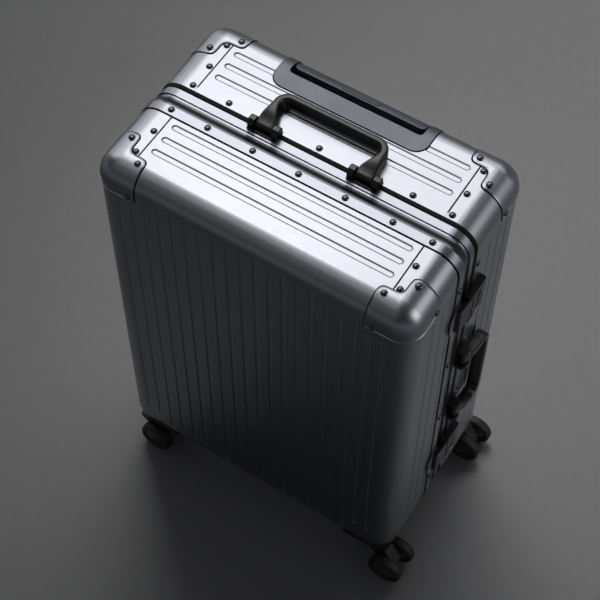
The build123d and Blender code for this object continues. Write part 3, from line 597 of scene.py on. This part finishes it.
# Rubber strip of the rear frame: a low crown with lips over the band and the sheet, as points
# of (distance behind the parting line, distance out of the case)
CROWN = (
    (12.2, -2.9), (12.2, -1.0), (10.7, -0.87), (11.3, -0.3), (13.4, 0.12), (15.0, 0.25), (16.7, 0.22),
    (17.4, 0.03), (16.3, -0.1), (16.2, -2.9),
)
CROWN_STEPS = 10
loops = [
    rounded_loop(HALF_W + out, HEIGHT / 2 + out, OUTLINE_R + out, Y_SEAM + behind, CROWN_STEPS)
    for behind, out in CROWN
]
verts, faces = [], []
skin(loops, verts, faces, closed=True)
strip = piece("frame_strip_rubber", verts, faces, STRIP, "rear_half")
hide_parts("frame_strip")

# Packing straps that cross on the rear floor: section as (share of the half width, rise)
STRAP_HALF, STRAP_RISE, STRAP_W, STRAP_STEPS = 160.0, 190.0, 30.0, 60
STRAP_SECTION = ((-1, 0.4), (-1, -0.4), (-0.94, -0.7), (0.94, -0.7), (1, -0.4), (1, 0.4))
STRAP_Y = REAR_FLOOR - 2.35
lean = atan2(STRAP_RISE, STRAP_HALF)
reach = hypot(STRAP_HALF, STRAP_RISE)
verts, faces = [], []
for level, tilt in ((0.0, lean), (0.5, -lean)):
    across = Vector((-sin(tilt), 0, cos(tilt))) * STRAP_W / 2
    rings = []
    for i in range(STRAP_STEPS + 1):
        t = -1 + 2 * i / STRAP_STEPS
        wave = 0.15 * sin(9 * t)
        middle = Vector((X_MID + t * reach * cos(tilt), STRAP_Y - level - wave, Z_MID + t * reach * sin(tilt)))
        rings.append([middle + across * w + Vector((0, y, 0)) for w, y in STRAP_SECTION])
    skin(rings, verts, faces, flip=True)
straps = piece("packing_straps_web", verts, faces, WEBBING, "rear_half", smooth=False)
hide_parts("packing_straps")

# ---------------------------------------------------------------- stage, light and camera
COOL_WHITE = (0.9, 0.93, 1.0, 1.0)
FLOOR_SIZE = 14
bpy.ops.mesh.primitive_plane_add(size=FLOOR_SIZE, location=(0, 0, 0))
floor = bpy.context.object
floor.name = "floor"
paper = material("floor_paper")
x, y, _ = paper.xyz()
# Painted light: the floor glows cool white, from nothing 0.8 m from the middle to its strongest 3.4 m out
paper.set(
    Base_Color=paper.mix(paper.noise(60.0, 4.0), (0.46, 0.46, 0.465), (0.52, 0.52, 0.525)),
    Roughness=0.75,
    Emission_Color=COOL_WHITE,
    Emission_Strength=paper.span(paper.length(x, y), 0.8, 3.4, 0.0, 0.16),
)
floor.data.materials.append(paper.owner)


def softbox(name, place, target, width, length, power, spread=180, card=False):
    """Soft lamp, in metres, watts and degrees; a card is a dim reflector that shows in gloss only."""
    data = bpy.data.lights.new(name, "AREA")
    data.shape = "RECTANGLE"
    data.size = width
    data.size_y = length
    data.energy = power
    data.spread = radians(spread)
    obj = bpy.data.objects.new(name, data)
    obj.location = place
    obj.rotation_euler = (Vector(place) - Vector(target)).to_track_quat("Z", "Y").to_euler()
    bpy.context.scene.collection.objects.link(obj)
    obj.visible_diffuse = not card


softbox("key", (-0.60, 1.20, 2.38), (0, 0.55, 0.69), 1.5, 1.35, 3.1, spread=64)
softbox("side_card", (-1.75, 0.55, 2.0), (-0.2, 0, 0.70), 1.3, 1.3, 6.5, card=True)
softbox("low_card", (-2.3, 1.2, 1.0), (-0.2, 0, 0.65), 1.6, 1.5, 4.2, card=True)
softbox("zenith_card", (-0.65, -0.05, 2.8), (0, -0.05, 0.69), 1.8, 1.1, 3.0, card=True)
softbox("head_card", (-0.65, -1.4, 2.3), (0, -0.1, 0.65), 2.2, 2.0, 1.5, card=True)
softbox("rear_card", (-0.67, 2.05, 1.9), (0, 0.1, 0.69), 1.8, 0.7, 4.0, card=True)
softbox("wash", (0.6, 2.4, 2.6), (0.3, 1.0, 0), 1.6, 0.8, 1.7, spread=90)
softbox("right_card", (2.3, 0.5, 1.6), (0.2, 0, 0.5), 1.8, 1.8, 2.6, spread=60, card=True)

# Dim room that is brighter towards the horizon and a little brighter in front
room = Nodes(bpy.data.worlds.new("studio"), "Background", "Generated")
_, y, z = room.xyz()
glow = room.span(z, 0.0, 0.4, 0.17, 0.02)
ahead = room.span(y, -0.9, -0.3, 1.3, 1.0)
room.set(Color=COOL_WHITE, Strength=room.math("MULTIPLY", glow, ahead))
bpy.context.scene.world = room.owner
bpy.context.scene.view_settings.view_transform = "Standard"

# Camera, solved from the straight edges of the case in the photograph
TURN, RISE, ROLL = radians(31.916), radians(57.81), radians(0.354)
AWAY, LENS, SENSOR = 2.1244, 96.016, 36.0
SHIFT_X, SHIFT_Y, PICTURE_W = 1.715, -1.155, 600
back = Vector((sin(TURN) * cos(RISE), -cos(TURN) * cos(RISE), sin(RISE)))
right = Vector((cos(TURN), sin(TURN), 0))
up = back.cross(right)
rolled_right = right * cos(ROLL) + up * sin(ROLL)
rolled_up = up * cos(ROLL) - right * sin(ROLL)
target = Vector((-9.32 + X_MID, -5.79 + Y_SEAM, 328.08 + Z_BOTTOM)) * MM
cam = bpy.data.cameras.new("camera")
cam.sensor_width = SENSOR
cam.lens = LENS
cam.shift_x, cam.shift_y = SHIFT_X / PICTURE_W, SHIFT_Y / PICTURE_W
cam_obj = bpy.data.objects.new("camera", cam)
placing = Matrix((rolled_right, rolled_up, back)).transposed().to_4x4()
placing.translation = target + back * AWAY
cam_obj.matrix_world = placing
bpy.context.scene.collection.objects.link(cam_obj)
bpy.context.scene.camera = cam_obj
